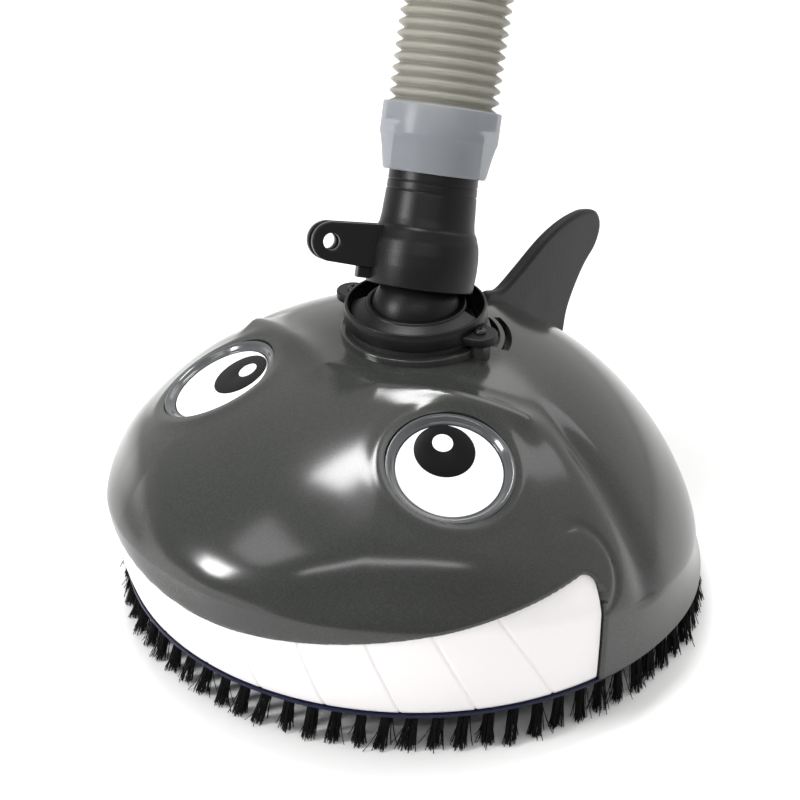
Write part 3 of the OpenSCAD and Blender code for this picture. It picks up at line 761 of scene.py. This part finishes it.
# pan head with a cross recess
def screwHead(name, place):
    sc = screwSet
    r, high, reach, half = sc["r"], sc["high"], sc["r"] * sc["slotLong"], sc["slotHalf"]
    head = lathe(name, [(0.001, 0), (r, 0), (r * 0.92, high * 0.6), (r * 0.55, high), (0.001, high)],
                 looks["oxide"], "head", place, 0.4, 48)
    bars = []
    for turn in (sc["turn"], sc["turn"] + math.pi / 2):
        c, s = math.cos(turn), math.sin(turn)
        pts = [(x * c - y * s, x * s + y * c, z) for z in (high * sc["slotLow"], high + 1)
               for x, y in ((-reach, -half), (reach, -half), (reach, half), (-reach, half))]
        bar = scratch("cutCross", pts, [(3, 2, 1, 0), (4, 5, 6, 7), (0, 1, 5, 4), (1, 2, 6, 5), (2, 3, 7, 6),
                                        (3, 0, 4, 7)])
        bar.data.transform(place)
        bars.append(bar)
    cut(head, bars)
    return head


def buildTurret():
    t = turretSet
    flange = lathe("turretFlange", [(23.2, 121), (27.9, 121), (27.9, t["low"]), (t["r"], t["low"]),
                                    (t["r"], 139.5), (t["r"] - 0.5, t["top"]), (t["r"] - 1.6, t["top"]),
                                    (27.6, 131), (23.2, 131)], looks["black"], "head", radius=0.8)
    for side in (-1, 1):
        ang = np.linspace(-math.pi / 2, math.pi / 2, 24)
        outline = [(side * (t["ear"] + t["earR"] * math.cos(u)), t["earR"] * math.sin(u)) for u in ang]
        outline += [(side * t["earIn"], t["earR"] + 1), (side * t["earIn"], -t["earR"] - 1)]
        platePiece("flangeEar", outline, [(side * t["ear"], 0, t["earHole"])], t["earThick"], 0.7,
                   looks["black"], "head", Matrix.Translation((0, 0, (t["low"] + t["earThick"] / 2) / 1000)))
        top = (side * t["ear"] / 1000, 0, (t["low"] + t["earThick"]) / 1000)
        screwHead("flangeScrew", Matrix.Translation(top))
    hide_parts("turret_flange")
    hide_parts("flange_screws")
    collar = lathe("swivelCollar", [(20.4, 115), (27, 115), (27, 119), (22.5, 119), (22.5, 141.6),
                                    (21.8, 142.5), (19.6, 142.5), (20.2, 139), (20.4, 137)],
                   looks["black"], "swivel", radius=0.45)
    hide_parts("swivel_collar")
    partLathe("swivelBrim", [(20.6, 136.5), (28.2, 136.5), (28.8, 138.7), (20.6, 142.5)],
              brimSet["start"], brimSet["end"], looks["black"], "swivel")


buildTurret()
print("turret built")

neckSet = dict(
    ballR=20, bore=11.6,
    lugTurn=210.0, lugOut=43.0, lugR=8.6, hole=3.7, gap=6.0, thick=4.0, along=26.7,
    hookAlong=19, hookThick=7,
)


def buildNeck():
    n = neckSet
    t = np.linspace(0, 1, 40)
    angles = np.radians(-46 + 122 * t)
    ball = [(n["ballR"] * math.cos(u), n["ballR"] * math.sin(u)) for u in angles]
    line = [(n["bore"], ball[0][1])] + ball + [(14, 31), (n["bore"], 31)]
    line = [(max(r, n["bore"]), z) for r, z in line]
    piece = lathe("neckBall", line, looks["black"], "neck", neckFrame, 0.3)
    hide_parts("neck_ball")
    bodyLine = [(15, 31), (15, 80), (19.75, 80), (19.75, 74.6), (18.9, 74.3), (18.9, 72.1), (19.75, 71.9),
                (19.75, 60), (19.85, 57.4), (19.6, 57.2), (19.6, 56.8), (19.9, 56.6), (19.95, 53.4),
                (19.7, 53.2), (19.7, 52.8), (20.05, 52.6), (20.2, 50), (20.7, 41), (21.2, 37.6), (22.2, 36.2),
                (23, 33.6), (23.8, 31.4), (24.4, 26), (24.4, 20), (23.7, 11), (21.7, 11), (21.7, 20),
                (14, 22.5)]
    body = lathe("neckBody", bodyLine[::-1], looks["black"], "neck", neckFrame, 0.8)
    turn = Matrix.Rotation(math.radians(n["lugTurn"]), 4, "Z")
    upright = Matrix.Rotation(math.radians(90), 4, "X")
    end = np.linspace(-math.pi / 2, math.pi / 2, 28)
    outline = [(n["lugOut"] + n["lugR"] * math.cos(u), n["lugR"] * math.sin(u)) for u in end]
    outline += [(30, 9.4), (16, 10.2), (16, -9.4), (30, -9.2)]
    for y in (-n["gap"] / 2 - n["thick"] / 2, n["gap"] / 2 + n["thick"] / 2):
        place = neckFrame @ turn @ Matrix.Translation((0, y / 1000, n["along"] / 1000)) @ upright
        platePiece("neckLug", outline, [(n["lugOut"], 0, n["hole"])], n["thick"], 0.7, looks["black"],
                   "neck", place)
    hook = [(20, -6.5), (29, -6.5), (29, -1.5), (27, 0), (20, 0)]
    platePiece("neckHook", hook, [], n["hookThick"], 0.8, looks["black"], "neck",
               neckFrame @ turn @ Matrix.Translation((0, 0, n["hookAlong"] / 1000)) @ upright)
    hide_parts("neck_body")


buildNeck()
print("neck built")

hoseSet = dict(
    outer=24.25, root=21.3, pitch=5.0, wall=1.0, start=82.5, end=402.5,
    straight=(95, 390), soften=41,      # the bow is softened between these, over this many steps
    step=0.25, quickStep=0.5, count=128, quickCount=72,
)
cuffSet = dict(low=61, flare=79, socket=82.5, back=80.5, farLong=30, farFlare=8, farBack=2)
# the hose's middle line in metres, up the neck from the ball's centre
hoseRoute = [(0, 0, 0.0825), (0, 0, 0.105), (0, 0.0005, 0.125), (0, 0.0015, 0.145), (0, 0.0025, 0.165),
             (0, 0.0035, 0.185), (0, 0.0045, 0.205), (0, 0.005, 0.225), (0, 0.005, 0.245), (0, 0.005, 0.265),
             (0, 0.0045, 0.285), (0, 0.0035, 0.305), (0, 0.0025, 0.325), (0, 0.0015, 0.345),
             (0, 0.0005, 0.365), (0, 0, 0.385), (0, 0, 0.4025)]


def buildHose():
    h = hoseSet
    route = np.array(hoseRoute)
    along = route[:, 2] * 1000
    z = np.arange(h["start"], h["end"] + 0.01, h["step"])
    y = np.interp(z, along, route[:, 1] * 1000)
    kernel = np.ones(h["soften"]) / h["soften"]
    soft = np.convolve(np.pad(y, h["soften"] // 2, "edge"), kernel, "valid")
    y = np.where((z > h["straight"][0]) & (z < h["straight"][1]), soft, y)
    phase = ((z - h["start"]) / h["pitch"]) % 1
    wave = np.clip(np.sin(math.pi * phase), 0, 1) ** 1.5        # slim ridges, round valleys
    outer = h["root"] + (h["outer"] - h["root"]) * wave
    inner = outer - h["wall"]
    count = h["count"]
    turn = np.linspace(0, 2 * math.pi, count, endpoint=False)

    def skin(r):
        return np.stack([r[:, None] * np.cos(turn), r[:, None] * np.sin(turn) + y[:, None],
                         np.repeat(z[:, None], count, 1)], 2)

    verts, faces = sheetSolid(skin(outer)[::-1], skin(inner)[::-1], True)
    hose = addMesh("hoseTube", verts, faces, looks["hose"], "hose_line", 0, neckFrame)
    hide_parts("hose")
    return hose


# a flip height turns the cuff round to face the other way
def cuffLine(low, flare, socket, back, flip=None):
    line = [(19.82, low), (22.3, low), (22.9, low + 1), (24.2, low + 8.5), (25.5, low + 14.5),
            (26.1, flare - 2), (26.1, socket + 8), (24.35, socket + 8), (24.35, socket),
            (18, socket), (18, back), (19.82, back)]
    return [(r, 2 * flip - z) for r, z in line][::-1] if flip else line


def buildCuffs():
    c, end = cuffSet, hoseSet["end"]
    near = lathe("hoseCuff", cuffLine(c["low"], c["flare"], c["socket"], c["back"]), looks["cuff"],
                 "hose_line", neckFrame, 0.7)
    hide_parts("hose_cuff")
    farLine = cuffLine(end - c["farLong"], end - c["farFlare"], end, end - c["farBack"], end)
    far = lathe("hoseEndCuff", farLine, looks["cuff"], "hose_line", neckFrame, 0.7)
    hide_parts("hose_end_cuff")
    return far


hose = buildHose()
farCuff = buildCuffs()
print("hose built")

bristleSet = dict(
    tufts=76, strands=56, quickStrands=18, radius=0.27, bundle=2.0, inset=5, splay=11.0, lean=9.0,
    long=17.0, uneven=0.12, thin=0.25, floor=0.25,
    strayShare=0.08, stray=3.0,         # a few strands stray this many times further
    rings=6, sides=4, seed=7,
)


def rimPoint(a, inset):
    r = float(rimAt(np.array(a))) - inset
    return Vector((r * math.sin(math.radians(a)), -r * math.cos(math.radians(a)), 0))


def buildBristles():
    b = bristleSet
    rng = random.Random(b["seed"])
    strands = b["strands"]
    verts, faces = [], []
    rings, sides = b["rings"], b["sides"]
    for i in range(b["tufts"]):
        a = 360 * (i + 0.5) / b["tufts"] - 180
        out = Vector((math.sin(math.radians(a)), -math.cos(math.radians(a)), 0))
        across = Vector((-out.y, out.x, 0))
        root = rimPoint(a, b["inset"])
        tuftLean = math.radians(b["lean"] + rng.gauss(0, 2.5))
        tuftSplay = math.radians(b["splay"] + rng.gauss(0, 2))
        for k in range(strands):
            rad, ang = b["bundle"] * math.sqrt(rng.random()), rng.uniform(0, 2 * math.pi)
            start = root + out * rad * math.cos(ang) + across * rad * math.sin(ang) * 1.1
            stray = 1.0 if rng.random() > b["strayShare"] else b["stray"]
            o = tuftSplay + stray * rng.gauss(0, 0.04) + 0.03 * math.cos(ang)
            c = -tuftLean + stray * rng.gauss(0, 0.035) + 0.03 * math.sin(ang)
            down = Vector((0, 0, -1)) + out * math.tan(o) + across * math.tan(c)
            long = b["long"] * (1 - b["uneven"] * rng.random())
            bend = (out * rng.gauss(0, 0.5) + across * rng.gauss(0, 0.8)) * stray
            base = len(verts)
            for g in range(rings):
                u = g / (rings - 1)
                p = start + down * long * u + bend * u * u
                p.z = max(p.z + b["long"], b["floor"])
                r = b["radius"] * (1 - b["thin"] * u)
                for s in range(sides):
                    t = 2 * math.pi * s / sides
                    verts.append(p + out * r * math.cos(t) + across * r * math.sin(t))
            for g in range(rings - 1):
                for s in range(sides):
                    n = (s + 1) % sides
                    faces.append((base + g * sides + s, base + (g + 1) * sides + s,
                                  base + (g + 1) * sides + n, base + g * sides + n))
            faces.append(tuple(base + s for s in range(sides)))
            faces.append(tuple(base + (rings - 1) * sides + s for s in reversed(range(sides))))
    tufts = addMesh("bristleTufts", [tuple(v) for v in verts], faces, looks["bristle"], sharp=0)
    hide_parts("bristle_tufts")


buildBristles()
print("bristles built")

# the pieces that stay as they come from the frame only get their look
carried = dict(
    fin_screws="steel", flange_gasket="rubber", base_plate="black", base_screws="steel", brush_ring="navy",
    suction_throat="black", turbine_case_left="inner", turbine_case_right="inner", turbine_rotor="rotor",
    turbine_shaft="shaft", shaft_bushes="brass", drive_pinion="gear", gear_frame="inner", gear_shaft="shaft",
    eccentric_gear="gear", eccentric_weight="shaft", outlet_tube="inner", float_ring="foam",
    ballast_plate="shaft", bearing_ring="gear", trunnion_pins="shaft", cuff_seal="rubber",
)


def paintNodes():
    for name, look in carried.items():
        obj = nodes[name]
        obj.data.materials.clear()
        obj.data.materials.append(looks[look])


paintNodes()
print("nodes painted")
